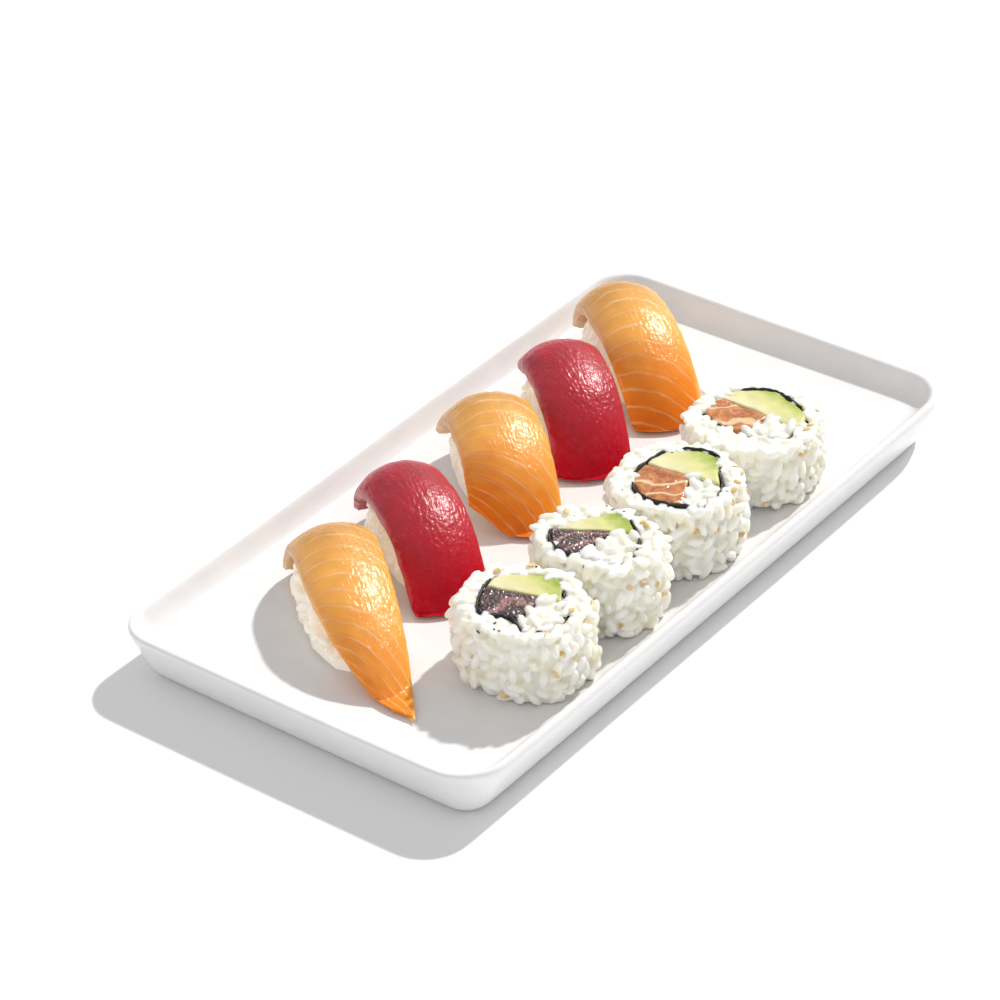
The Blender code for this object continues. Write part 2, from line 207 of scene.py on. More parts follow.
def sticky_rice(name, depth, glow):
    """Short-grain rice, boiled and dressed with vinegar: milky grains with a wet, soft gloss, which let light
    in by `depth` mm. A faint warm `glow` is the daylight that comes through a heap."""
    material, tree, shader, place = new_material(name)
    patches = add_node(tree, "TexNoise", {"Vector": place, "Scale": per_mm(5), "Detail": 2.0})
    color = add_node(tree, "ValToRGB", {"Fac": patches}, stops=(
        (0.3, linear("#f3eddb")), (0.65, linear("#faf8f0"))))
    wrinkles = add_node(tree, "TexNoise", {"Vector": place, "Scale": per_mm(1.2), "Detail": 1.0})
    bump = add_node(tree, "Bump", {"Height": wrinkles, "Distance": 0.1 * MM, "Strength": 0.4})
    set_sockets(tree, shader, {
        "Base Color": color, "Roughness": 0.38, "IOR": 1.4, "Normal": bump,
        "Subsurface Weight": 0.85, "Subsurface Radius": (1.0, 0.9, 0.68), "Subsurface Scale": depth * MM,
        "Emission Color": linear("#ffe2c4"), "Emission Strength": glow,
        "Coat Weight": 0.25, "Coat Roughness": 0.15,
    })
    return material


def flesh_parts(tree):
    """The parts of the attribute "flesh": the layer, counted in lines of fat, the place across from the right
    edge, -1, to the left one, 1, and the place along from the near end, -1, to the far one, 1."""
    flesh = add_node(tree, "Attribute", output="Vector", attribute_name="flesh")
    return [add_node(tree, "SeparateXYZ", {0: flesh}, output=axis) for axis in "XYZ"]


def wet_flesh(tree, shader, place, along, height, color, radius):
    """The looks of raw fish: light let in to `radius`, under a wet film whose shine the grit and the strokes
    of the knife break up. Both are drawn coarser than they are, so that they show. The film thins out towards
    the near end."""
    bump = add_node(tree, "Bump", {"Height": height, "Distance": MM, "Strength": 1.0})
    grit = add_node(tree, "TexNoise", {
        "Vector": place, "Scale": per_mm(1.3), "Detail": 1.0, "Roughness": 0.4,
    })
    drawn = add_node(tree, "Mapping", {
        "Vector": place, "Rotation": (0, 0, GRAIN_HEADING), "Scale": (5.0, 1.0, 1.0),
    }, vector_type="TEXTURE")
    strokes = add_node(tree, "TexNoise", {
        "Vector": drawn, "Scale": per_mm(1.1), "Detail": 1.0, "Roughness": 0.4,
    })
    rough = add_node(tree, "Math", {0: grit, 1: 0.2, 2: height}, operation="MULTIPLY_ADD")
    rough = add_node(tree, "Math", {0: strokes, 1: 0.42, 2: rough}, operation="MULTIPLY_ADD")
    sparkle = add_node(tree, "Bump", {"Height": rough, "Distance": MM, "Strength": 1.0})
    film = add_node(tree, "MapRange", {
        "Value": along, "From Min": -0.85, "From Max": -0.35, "To Min": 0.2, "To Max": 1.0,
    })
    set_sockets(tree, shader, {
        "Base Color": color, "Roughness": 0.5, "Specular IOR Level": 0.0, "Normal": bump,
        "Subsurface Weight": 0.4, "Subsurface Radius": radius, "Subsurface Scale": 3 * MM,
        "Coat Weight": film, "Coat IOR": 1.6, "Coat Roughness": 0.36, "Coat Normal": sparkle,
    })


def raw_salmon():
    """Raw salmon: amber flesh between soft pale lines of fat. Its deeper orange towards the near end is
    partly its own colour and partly painted shade and glow, and its thin right edge has a painted golden
    glow.
    """
    material, tree, shader, place = new_material("raw_salmon_flesh")
    layer, across, along = flesh_parts(tree)
    sway = add_node(tree, "TexNoise", {"Vector": place, "Scale": per_mm(5), "Detail": 2.0})
    sway = add_node(tree, "Math", {0: sway, 1: 0.35, 2: layer}, operation="MULTIPLY_ADD")
    share = add_node(tree, "Math", {0: sway}, operation="FRACT")
    off_line = add_node(tree, "Math", {0: share, 1: 0.5}, operation="SUBTRACT")
    off_line = add_node(tree, "Math", {0: off_line}, operation="ABSOLUTE")
    line = add_node(tree, "MapRange", {
        "Value": off_line, "From Min": 0.0, "From Max": 0.13, "To Min": 1, "To Max": 0,
    }, interpolation_type="SMOOTHSTEP")
    faded = add_node(tree, "TexNoise", {"Vector": place, "Scale": per_mm(9), "Detail": 1.0})
    faded = add_node(tree, "MapRange", {
        "Value": faded, "From Min": 0.35, "From Max": 0.65, "To Min": 0.12, "To Max": 0.5,
    })
    blotch = add_node(tree, "TexNoise", {"Vector": place, "Scale": per_mm(7), "Detail": 3.0})
    # Painted light and shade along the slice: deep orange at the near end, pale amber at the crown, duller at
    # the far end; partly the flesh's own colour.
    blotch_and_painted_shade = add_node(tree, "Math", {0: along, 1: 0.5, 2: 0.4}, operation="MULTIPLY_ADD")
    blotch_and_painted_shade = add_node(tree, "Math", {0: blotch, 1: 0.2, 2: blotch_and_painted_shade}, operation="MULTIPLY_ADD")
    body = add_node(tree, "ValToRGB", {"Fac": blotch_and_painted_shade}, stops=(
        (0.0, linear("#de7016")), (0.14, linear("#ea861e")),
        (0.36, linear("#f2aa48")), (0.6, linear("#c08840"))))
    # Painted glow: the thin right edge is tinted golden as if the sun shone through it.
    golden = add_node(tree, "MapRange", {"Value": across, "From Min": -0.6, "From Max": -1.0, "To Max": 0.6})
    body = add_node(tree, "Mix", {0: golden, 6: body, 7: linear("#f0a830")}, output=2, data_type="RGBA")
    rosy = add_node(tree, "MapRange", {"Value": across, "From Min": 0.6, "From Max": 1.0, "To Max": 0.5})
    upper = add_node(tree, "MapRange", {"Value": along, "From Min": -0.5, "From Max": 0.1})
    rosy = add_node(tree, "Math", {0: rosy, 1: upper}, operation="MULTIPLY")
    body = add_node(tree, "Mix", {0: rosy, 6: body, 7: linear("#f2bd98")}, output=2, data_type="RGBA")
    flap = add_node(tree, "Math", {0: across, 1: along}, operation="MULTIPLY")
    flap = add_node(tree, "MapRange", {"Value": flap, "From Min": 0.55, "From Max": 0.8, "To Max": 0.7})
    body = add_node(tree, "Mix", {0: flap, 6: body, 7: linear("#f3d3a2")}, output=2, data_type="RGBA")
    fat = add_node(tree, "Math", {0: line, 1: faded}, operation="MULTIPLY")
    color = add_node(tree, "Mix", {0: fat, 6: body, 7: linear("#f9d4a4")}, output=2, data_type="RGBA")
    height = add_node(tree, "Math", {0: fat, 1: 0.1}, operation="MULTIPLY")
    wet_flesh(tree, shader, place, along, height, color, (1.0, 0.42, 0.12))
    return material


def raw_tuna():
    """Raw lean tuna: dense crimson flesh with pale grain along it and a milky film on its left edge, and
    painted light that makes the shaded near end a brighter red."""
    material, tree, shader, place = new_material("raw_tuna_flesh")
    _, across, along = flesh_parts(tree)
    blotch = add_node(tree, "TexNoise", {"Vector": place, "Scale": per_mm(8), "Detail": 3.0})
    body = add_node(tree, "ValToRGB", {"Fac": blotch}, stops=(
        (0.3, linear("#900620")), (0.7, linear("#b00a2a"))))
    # Painted light: the near end, which lies in shade, gets a brighter red.
    painted_light_near_end = add_node(tree, "MapRange", {"Value": along, "From Min": 0.1, "From Max": -0.75})
    body = add_node(tree, "Mix", {0: painted_light_near_end, 6: body, 7: linear("#bc001e")}, output=2, data_type="RGBA")
    drawn = add_node(tree, "Mapping", {
        "Vector": place, "Rotation": (0, 0, GRAIN_HEADING), "Scale": (4.0, 1.0, 1.0),
    }, vector_type="TEXTURE")
    grain = add_node(tree, "TexNoise", {
        "Vector": drawn, "Scale": per_mm(1.6), "Detail": 3.0, "Roughness": 0.65,
    })
    grain = add_node(tree, "MapRange", {"Value": grain, "From Min": 0.52, "From Max": 0.72, "To Max": 0.25})
    body = add_node(tree, "Mix", {0: grain, 6: body, 7: linear("#b84a5c")}, output=2, data_type="RGBA")
    streaks = add_node(tree, "TexNoise", {"Vector": place, "Scale": per_mm(2.5), "Detail": 3.0})
    spread = add_node(tree, "Math", {0: streaks, 1: 0.35, 2: across}, operation="MULTIPLY_ADD")
    far = add_node(tree, "MapRange", {"Value": along, "From Min": -0.5, "From Max": 0.5, "To Max": 0.12})
    spread = add_node(tree, "Math", {0: spread, 1: far}, operation="ADD")
    film = add_node(tree, "MapRange", {"Value": spread, "From Min": 1.05, "From Max": 1.3, "To Max": 0.55})
    color = add_node(tree, "Mix", {0: film, 6: body, 7: linear("#d99a9a")}, output=2, data_type="RGBA")
    stretched = add_node(tree, "Mapping", {"Vector": place, "Scale": (1.0, 0.35, 1.0)})
    threads = add_node(tree, "TexNoise", {"Vector": stretched, "Scale": per_mm(0.8), "Detail": 1.0})
    height = add_node(tree, "Math", {0: threads, 1: 0.12}, operation="MULTIPLY")
    wet_flesh(tree, shader, place, along, height, color, (1.0, 0.12, 0.1))
    return material


def ripe_avocado():
    """Ripe avocado: buttery flesh that goes from pale yellow by the stone to green by the skin."""
    material, tree, shader, place = new_material("ripe_avocado_flesh")
    ripeness = add_node(tree, "Attribute", output="Fac", attribute_name="ripeness")
    sway = add_node(tree, "TexNoise", {"Vector": place, "Scale": per_mm(3), "Detail": 3.0})
    sway = add_node(tree, "Math", {0: sway, 1: 0.3, 2: ripeness}, operation="MULTIPLY_ADD")
    color = add_node(tree, "ValToRGB", {"Fac": sway}, stops=(
        (0.2, linear("#e6deb2")), (0.6, linear("#d6d48e")),
        (0.85, linear("#9fb244")), (1.0, linear("#5f7a26"))))
    cut = add_node(tree, "TexNoise", {"Vector": place, "Scale": per_mm(1.2), "Detail": 3.0})
    bump = add_node(tree, "Bump", {"Height": cut, "Distance": 0.15 * MM, "Strength": 0.5})
    set_sockets(tree, shader, {
        "Base Color": color, "Roughness": 0.45, "IOR": 1.45, "Normal": bump,
        "Subsurface Weight": 0.3, "Subsurface Radius": (1.0, 0.9, 0.4), "Subsurface Scale": 1.5 * MM,
    })
    return material


def roasted_nori():
    """Roasted nori, damp from the rice: near black with a green cast, finely fibrous and slightly glossy."""
    material, tree, shader, place = new_material("roasted_nori_sheet")
    fibres = add_node(tree, "TexNoise", {"Vector": place, "Scale": per_mm(0.8), "Detail": 4.0})
    color = add_node(tree, "ValToRGB", {"Fac": fibres}, stops=(
        (0.3, linear("#0b0d0a")), (0.8, linear("#20261c"))))
    bump = add_node(tree, "Bump", {"Height": fibres, "Distance": 0.2 * MM, "Strength": 0.8})
    set_sockets(tree, shader, {"Base Color": color, "Roughness": 0.45, "Normal": bump})
    return material


def cut_fish(name, dark, light, fat, blotch_size, grit_height):
    """Raw fish cut across its grain: short wet fibres, up to `grit_height` mm high, that catch the light,
    with veins of fat."""
    material, tree, shader, place = new_material(name)
    blotch = add_node(tree, "TexNoise", {"Vector": place, "Scale": per_mm(blotch_size), "Detail": 4.0})
    body = add_node(tree, "ValToRGB", {"Fac": blotch}, stops=((0.35, linear(dark)), (0.65, linear(light))))
    veins = add_node(tree, "TexWave", {
        "Vector": place, "Scale": per_mm(18), "Distortion": 11.0, "Detail": 2.0,
    }, output="Fac", bands_direction="DIAGONAL")
    vein = add_node(tree, "MapRange", {"Value": veins, "From Min": 0.84, "From Max": 0.97, "To Max": 1.0})
    color = add_node(tree, "Mix", {0: vein, 6: body, 7: linear(fat)}, output=2, data_type="RGBA")
    grit = add_node(tree, "TexNoise", {"Vector": place, "Scale": per_mm(1.2), "Detail": 1.0})
    bump = add_node(tree, "Bump", {"Height": grit, "Distance": grit_height * MM, "Strength": 1.0})
    set_sockets(tree, shader, {
        "Base Color": color, "Roughness": 0.35, "IOR": 1.38, "Normal": bump,
        "Subsurface Weight": 0.3, "Subsurface Radius": (1.0, 0.3, 0.15), "Subsurface Scale": 2 * MM,
        "Coat Weight": 1.0, "Coat IOR": 1.6, "Coat Roughness": 0.14, "Coat Normal": bump,
    })
    return material


def toasted_sesame():
    """Toasted white sesame: matt golden-tan hulls, browner in patches."""
    material, tree, shader, place = new_material("toasted_sesame_hull")
    toast = add_node(tree, "TexNoise", {"Vector": place, "Scale": per_mm(3), "Detail": 2.0})
    color = add_node(tree, "ValToRGB", {"Fac": toast}, stops=(
        (0.35, linear("#d6ae62")), (0.65, linear("#f0dcae"))))
    set_sockets(tree, shader, {
        "Base Color": color, "Roughness": 0.5,
        "Subsurface Weight": 0.2, "Subsurface Radius": (1.0, 0.7, 0.3), "Subsurface Scale": 0.6 * MM,
    })
    return material


# ---------------------------------------------------------------- mesh tools

MERGE_REACH = 0.02  # mm
TOP_REACH = 0.5  # mm within which a point counts as lying on a flat top


def add_piece(name, mesh, material, slot, *nodes):
    """Makes the mesh a piece that rides on the platter and stands for CAD nodes. A topping stands for none.
    `slot` is not used."""
    mesh.materials.clear()
    mesh.materials.append(material)
    piece = bpy.data.objects.new(name, mesh)
    bpy.context.scene.collection.objects.link(piece)
    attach(piece, "root")
    if nodes:
        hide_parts(*nodes)
    return piece


def mesh_of(bm, name):
    mesh = bpy.data.meshes.new(name)
    bm.to_mesh(mesh)
    bm.free()
    mesh.shade_smooth()
    return mesh


def solid_copy(node):
    """A CAD node's solid with its loose triangles merged."""
    bm = bmesh.new()
    bm.from_mesh(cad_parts[node].data)
    bmesh.ops.remove_doubles(bm, verts=bm.verts, dist=MERGE_REACH * MM)
    return bm


def evaluated(bm, name, *modifiers):
    """The mesh that modifiers, given as (kind, settings), make of a bmesh."""
    holder = bpy.data.objects.new(name, mesh_of(bm, name))
    bpy.context.scene.collection.objects.link(holder)
    for kind, settings in modifiers:
        modifier = holder.modifiers.new(kind.lower(), kind)
        for key, value in settings.items():
            setattr(modifier, key, value)
    graph = bpy.context.evaluated_depsgraph_get()
    made = bpy.data.meshes.new_from_object(holder.evaluated_get(graph), depsgraph=graph)
    bpy.data.objects.remove(holder)
    made.name = name
    made.shade_smooth()
    return made


def melted(bm, name, voxel, rounds):
    """The bodies of a bmesh melted into one skin and smoothed."""
    remesh = ("REMESH", {"mode": "VOXEL", "voxel_size": voxel * MM, "adaptivity": 0.0})
    return evaluated(bm, name, remesh, ("SMOOTH", {"factor": 0.5, "iterations": rounds}))


def points_of(mesh):
    points = np.empty(len(mesh.vertices) * 3, np.float32)
    mesh.vertices.foreach_get("co", points)
    return points.reshape(-1, 3)


def move_points(mesh, points):
    mesh.vertices.foreach_set("co", points.astype(np.float32).ravel())
    mesh.update()


def lumps(points, size, seed):
    """Smooth noise between about -1 and 1 at each point, with lumps of `size` mm."""
    shift = Vector((seed * 7.3, seed * 3.1, seed * 5.7))
    return np.array([noise.noise(Vector(point) / (size * MM) + shift) for point in points])


# ---------------------------------------------------------------- platter

# As in the CAD, in mm: the rim's size and its corners, which start at +X +Y and go round anticlockwise.
RIM_LENGTH = 260
RIM_WIDTH = 142.5
CORNER_RADII = (17, 15, 15, 16)
CORNER_STEPS = 7
LONG_RUN_STEPS = 12
SHORT_RUN_STEPS = 7
RIM_RISE = 0.45
RIM_DRIFT = 0.6
WAVE_PEAK = 1.5  # the most that a wave and a second one of half its height add up to
# The wall's section, from the recess under the foot, up the outside and down to the inner floor: mm in from
# the rim's outline, mm up, and the share of the rim's waviness that it has there.
WALL_SECTION = (
    (14.7, 5.0, 0.0), (13.8, 3.8, 0.0), (13.2, 0.0, 0.0), (9.4, 0.0, 0.0),
    (6.9, 1.1, 0.1), (4.4, 5.2, 0.3), (2.1, 11.0, 0.6), (0.5, 15.6, 1.0),
    (0.0, 17.6, 1.0), (0.5, 18.7, 1.0), (1.6, 19.0, 1.0), (2.8, 18.4, 1.0),
    (4.2, 15.6, 0.8), (6.4, 12.4, 0.4), (9.6, 10.9, 0.1), (13.0, 10.8, 0.0),
)
PLATTER_SUBDIVISIONS = 2


def rim_wave(around):
    """How many mm the hand-shaped rim rises and drifts outwards at a share of the way round it."""
    turn = 2 * math.pi * around
    rise = math.sin(2 * turn + 0.6) + 0.5 * math.sin(5 * turn + 2.1)
    drift = math.sin(3 * turn + 1.2) + 0.5 * math.sin(7 * turn)
    return rise * RIM_RISE / WAVE_PEAK, drift * RIM_DRIFT / WAVE_PEAK


def rim_outline(inset):
    """Points in mm and outward directions, anticlockwise, of the rim's outline drawn in by `inset`."""
    arcs = []
    for corner, radius in enumerate(CORNER_RADII):
        side_x = 1 if corner in (0, 3) else -1
        side_y = 1 if corner in (0, 1) else -1
        centre = Vector((side_x * (RIM_LENGTH / 2 - radius), side_y * (RIM_WIDTH / 2 - radius), 0))
        for step in range(CORNER_STEPS + 1):
            angle = math.radians(90 * (corner + step / CORNER_STEPS))
            outward = Vector((math.cos(angle), math.sin(angle), 0))
            arcs.append((centre + outward * (radius - inset), outward))
    outline = []
    for number, (point, outward) in enumerate(arcs):
        outline.append((point, outward))
        if number % (CORNER_STEPS + 1) < CORNER_STEPS:
            continue
        following = arcs[(number + 1) % len(arcs)][0]
        run_steps = LONG_RUN_STEPS if abs(outward.y) > 0.5 else SHORT_RUN_STEPS
        outline += [(point.lerp(following, step / run_steps), outward) for step in range(1, run_steps)]
    return outline


def wall_ring(inset, height, waviness):
    """The wall's outline, in metres, at one point of its section."""
    ring = []
    outline = rim_outline(inset)
    for number, (point, outward) in enumerate(outline):
        rise, drift = rim_wave(number / len(outline))
        spot = point + outward * drift * waviness
        spot.z = height + rise * waviness
        ring.append(spot * MM)
    return ring


def add_platter():
    """The wall's outline drawn up ring by ring from the recess under the foot to the inner floor."""
    bm = bmesh.new()
    place_of = bm.verts.layers.int.new("place")
    verts = [bm.verts.new(spot) for spot in wall_ring(*WALL_SECTION[0])]
    for place, vert in enumerate(verts):
        vert[place_of] = place
    edges = [bm.edges.new((verts[place - 1], verts[place])) for place in range(len(verts))]
    bmesh.ops.contextual_create(bm, geom=edges)
    for section in WALL_SECTION[1:]:
        made = bmesh.ops.extrude_edge_only(bm, edges=edges)["geom"]
        edges = [item for item in made if isinstance(item, bmesh.types.BMEdge)]
        ring = wall_ring(*section)
        for vert in {vert for edge in edges for vert in edge.verts}:
            vert.co = ring[vert[place_of]]
    bmesh.ops.contextual_create(bm, geom=edges)
    bmesh.ops.recalc_face_normals(bm, faces=bm.faces)
    smoothing = {"levels": PLATTER_SUBDIVISIONS, "render_levels": PLATTER_SUBDIVISIONS}
    mesh = evaluated(bm, "platter_glazed", ("SUBSURF", smoothing))
    add_piece("platter_glazed", mesh, white_glaze(), "glazed_stoneware", "platter")


# ---------------------------------------------------------------- fish slices

SLICE_SEGMENTS = (200, 64)  # along and across
SLICE_LAYERS = 4
BEND_POWER = 0.75
SKEW_POWER = 1.5
TAPER_POWER = 2.5
EDGE_THINNING = 0.45  # share of the thickness that is lost at the border
END_THINNING_POWER = 6
SIDE_THINNING_POWER = 4
SIDE_LEAN = 0.8
LOWEST_BACK = 1.6
GAP = 0.3
FLOOR_HEIGHT = 10.8
ROUNDING = 1.6  # mm of a slice's border that curves down to its side
ROUNDING_SHARE = 0.55  # how far the border curves in towards the middle of the thickness
SPINE_STEP = 0.25
SPINE_SPARE = 1.5  # the spine's length as a share of the slice's, so that skewed corners find it

# Lumps of flesh, their size and relief in mm.
SLOW_LUMPS = 14
SLOW_RELIEF = 0.35
QUICK_LUMPS = 4
QUICK_RELIEF = 0.12

# Lines of fat, in mm: they lie LINE_SPACING apart, run towards the far end by their slant from the middle to
# the left edge, bow towards the near end at both edges, and waver.
LINE_SPACING = 7.0
LINE_SLANT = 3.0
NEAR_END_SLANT = 12.0  # more at the near end
LINE_BOW = 4.0
LINE_WAVER = 1.5
FAT_RELIEF = 0.1
FAT_HALF_WIDTH = 0.8

# The uneven border: shares of the slice's half width and length, and its lumps in mm.
SIDE_WOBBLE = 0.03
SIDE_LUMPS = 6
END_WOBBLE = 0.03
END_LUMPS = 5
NICK_PLACE = 0.72
NICK_REACH = 0.03

# As in the CAD: mm and degrees, in each nigiri's own frame, with X along it and Z up from the inner floor.
# Only the looks have the last row: `trim` cuts back the far end's left corner by some mm, `flare` spreads it,
# `even` keeps the near end's colour even by weakening the painted light and shade along the slice, and `nick`
# cuts into the left edge.
FISH_THICKNESS = {"salmon": 5.5, "tuna": 6.5}
USUAL_NIGIRI = {
    "width": 28, "crown": 27, "arch": 45,
    "near_reach": 54, "near_bend": 62, "near_skew": 0, "near_width": 0.95, "near_drift": 0,
    "far_reach": 36, "far_bend": 76, "far_skew": 0, "far_width": 0.8, "far_drift": 0,
    "trim": 6, "flare": 2, "even": 1, "nick": 0,
}
NIGIRI = {
    "nigiri_1": {
        "fish": "salmon", "at": (-72, 27), "heading": 52, "crown": 25,
        "near_reach": 70, "near_bend": 46, "near_skew": 12, "near_width": 0.4, "near_drift": -3,
        "far_skew": 7, "far_drift": 2, "trim": 11, "even": 0.78,
    },
    "nigiri_2": {
        "fish": "tuna", "at": (-35, 29), "heading": 62,
        "near_bend": 57, "near_drift": 2, "far_bend": 80, "nick": 0.14,
    },
    "nigiri_3": {
        "fish": "salmon", "at": (12, 32), "heading": 55, "width": 30,
        "near_skew": 17, "near_drift": 3, "far_reach": 32, "flare": 4,
    },
    "nigiri_4": {
        "fish": "tuna", "at": (51, 32), "heading": 55, "near_skew": 3, "near_drift": 2,
        "far_reach": 32, "far_skew": -3, "far_width": 0.75,
    },
    "nigiri_5": {
        "fish": "salmon", "at": (90, 36), "heading": 57, "crown": 28, "arch": 50,
        "near_reach": 58, "near_bend": 52, "far_skew": 5, "trim": 9,
    },
}


def nigiri_spec(name):
    """The usual nigiri with what is this one's own."""
    own = NIGIRI[name]
    return {**USUAL_NIGIRI, "thickness": FISH_THICKNESS[own["fish"]], **own}


def by_end(spec, key, u):
    """A setting of the near end where u is negative and of the far end elsewhere."""
    return np.where(u > 0, spec["far_" + key], spec["near_" + key])


def spine(spec, along):
    """X, Z and bending angle of the slice's back at mm along it, negative towards the near end."""
    found = []
    for end, sign in (("far", 1), ("near", -1)):
        steps = np.arange(0, spec[end + "_reach"] * SPINE_SPARE, SPINE_STEP)
        share = np.clip((steps + SPINE_STEP / 2) / spec[end + "_reach"], 0, 1)
        angle = math.radians(spec[end + "_bend"]) * (share * share * (3 - 2 * share)) ** BEND_POWER
        x = np.concatenate([[0], np.cumsum(np.cos(angle))[:-1]]) * SPINE_STEP
        z = spec["crown"] - np.concatenate([[0], np.cumsum(np.sin(angle))[:-1]]) * SPINE_STEP
        distance = np.clip(along * sign, 0, None)
        found.append([np.interp(distance, steps, values) for values in (x * sign, z, angle * sign)])
    return [np.where(along > 0, far, near) for far, near in zip(*found)]


def slice_points(spec, u, v, depth, relief):
    """Points of the slice in mm: u from the near end, -1, to the far end, 1, v from the right edge, -1, to
    the left one, 1, and depth from the back, 0, to the underside, 1. The relief is raised on the back."""
    reach = by_end(spec, "reach", u)
    along = u * reach + np.abs(u) ** SKEW_POWER * by_end(spec, "skew", u) * v
    along = along - spec["trim"] * np.clip(u, 0, 1) ** 2 * np.clip(v, 0, 1) ** 2
    x, z, turned = spine(spec, along)
    half_width = spec["width"] / 2 * (1 - (1 - by_end(spec, "width", u)) * np.abs(u) ** TAPER_POWER)
    arch = math.radians(spec["arch"])
    lean = np.sin(v * arch)
    across = half_width * lean / math.sin(arch)
    drop = half_width * (1 - np.cos(v * arch)) / math.sin(arch)
    to_rim = np.minimum((1 - np.abs(u)) * reach, (1 - np.abs(v)) * half_width)
    rim = np.clip(1 - to_rim / ROUNDING, 0, 1) ** 2
    depth = depth + (0.5 - depth) * ROUNDING_SHARE * rim
    edge = np.clip(np.maximum(np.abs(u) ** END_THINNING_POWER, np.abs(v) ** SIDE_THINNING_POWER), 0, 1)
    below = depth * spec["thickness"] * (1 - EDGE_THINNING * edge)
    sink = drop + below - relief * (1 - depth)
    side = across - below * lean * SIDE_LEAN + relief * lean * (1 - depth)
    side = side + spec["flare"] * np.clip(u, 0, 1) ** 2 * np.clip(v, 0, 1) ** 4
    drift = spec["near_drift"] * np.clip(-u, 0, None) ** 2 + spec["far_drift"] * np.clip(u, 0, None) ** 2
    x = x - sink * np.sin(turned)
    z = z - sink * np.cos(turned)
    return np.stack([x, side + drift, np.maximum(z, GAP + (1 - depth) * LOWEST_BACK)], axis=1)


def slab(segments_along, segments_across, layers):
    """A flat slab from -1 to 1 along X and Y, from Z 0 down to Z -1, its side cut into layers."""
    bm = bmesh.new()
    bmesh.ops.create_grid(bm, x_segments=segments_along, y_segments=segments_across, size=1.0)
    made = bmesh.ops.extrude_face_region(bm, geom=bm.faces[:])
    lower = [item for item in made["geom"] if isinstance(item, bmesh.types.BMVert)]
    bmesh.ops.translate(bm, verts=lower, vec=(0, 0, -1))
    upright = [edge for edge in bm.edges if abs(edge.verts[0].co.z - edge.verts[1].co.z) > 0.5]
    bmesh.ops.subdivide_edges(bm, edges=upright, cuts=layers - 1, use_grid_fill=True)
    bmesh.ops.recalc_face_normals(bm, faces=bm.faces)
    return bm


def fat_layer(along, u, v, slow):
    """The place of each point among the lines of fat, which lie at the whole numbers and a half."""
    slant = LINE_SLANT + NEAR_END_SLANT * np.clip(-u, 0, 1)
    return (along + LINE_BOW * v * v - slant * v + LINE_WAVER * slow) / LINE_SPACING


def uneven_border(spec, u, v, flat, seed):
    """U and v of each point, the border's drawn in and out by its lumps and by the nick in the left edge."""
    side = 1 + SIDE_WOBBLE * lumps(flat * [1, 0, 1], SIDE_LUMPS, seed + 40) * np.abs(v) ** 3
    end = 1 + END_WOBBLE * lumps(flat * [0, 1, 1], END_LUMPS, seed + 60) * np.abs(u) ** 6
    nick = 1 - spec["nick"] * np.exp(-((u - NICK_PLACE) / NICK_REACH) ** 2) * (v > 0)
    return u * end, v * side * nick


def on_platter(spec, points):
    """Points in mm of the nigiri's own frame, in metres of the platter's."""
    turn = math.radians(spec["heading"])
    x = points[:, 0] * math.cos(turn) - points[:, 1] * math.sin(turn) + spec["at"][0]
    y = points[:, 0] * math.sin(turn) + points[:, 1] * math.cos(turn) + spec["at"][1]
    return np.stack([x, y, points[:, 2] + FLOOR_HEIGHT], axis=1) * MM


def add_slice(name, spec, material):
    """A slab bent into the slice, with lumps, raised lines of fat and the attribute "flesh"."""
    seed = int(name[-1])
    mesh = mesh_of(slab(*SLICE_SEGMENTS, SLICE_LAYERS), name + "_slice")
    grid = points_of(mesh)
    u, v, depth = grid[:, 0], grid[:, 1], -grid[:, 2]
    along = u * by_end(spec, "reach", u)
    flat = np.stack([along, v * spec["width"] / 2, depth * 0], axis=1) * MM
    slow = lumps(flat, SLOW_LUMPS, seed)
    quick = lumps(flat, QUICK_LUMPS, seed + 20)
    layer = fat_layer(along, u, v, slow)
    relief = SLOW_RELIEF * slow + QUICK_RELIEF * quick
    if spec["fish"] == "salmon":
        off_line = np.abs((layer % 1.0) - 0.5) * LINE_SPACING
        relief = relief + FAT_RELIEF * np.exp(-(off_line / FAT_HALF_WIDTH) ** 2)
    points = slice_points(spec, *uneven_border(spec, u, v, flat, seed), depth, relief)
    move_points(mesh, on_platter(spec, points))
    flesh = mesh.attributes.new("flesh", "FLOAT_VECTOR", "POINT")
    parts = np.stack([layer, v, u * spec["even"]], axis=1)
    flesh.data.foreach_set("vector", parts.astype(np.float32).ravel())
    node = name + "_" + spec["fish"]
    add_piece(node + "_slice", mesh, material, spec["fish"], node)


# ---------------------------------------------------------------- rice

GRAIN_SIZE = (6.2, 3.0, 2.7)  # mm
GRAIN_GAP = 2.35  # mm, the least between the middle lines of two grains
GRAIN_REACH = 0.31  # share of a grain's length from its middle to either end of its middle line
GRAIN_GROWTH = (0.85, 1.12)
GRAIN_STRETCH = (0.9, 1.15)
GRAIN_NEARBY = 7  # mm within which other grains take up room
GRAIN_TRIES = 8  # directions tried for each grain
CORE_DEPTH = 1.9  # mm from the heap's outline to its core
CORE_DROP = 0.9  # mm from a roll's flat top to its core
RICE_VOXEL = 0.44
RAY_LIFT = 10 * MM  # how far above a piece its rays start

# How many rays look for room for each layer of grains.
SIDE_RAYS = 5000
UNDER_SIDE_RAYS = 2000
TOP_RAYS = 2500
COVER_RAYS = 4000
CENTRE_RAYS = 1500
MOUND_RAYS = 5000
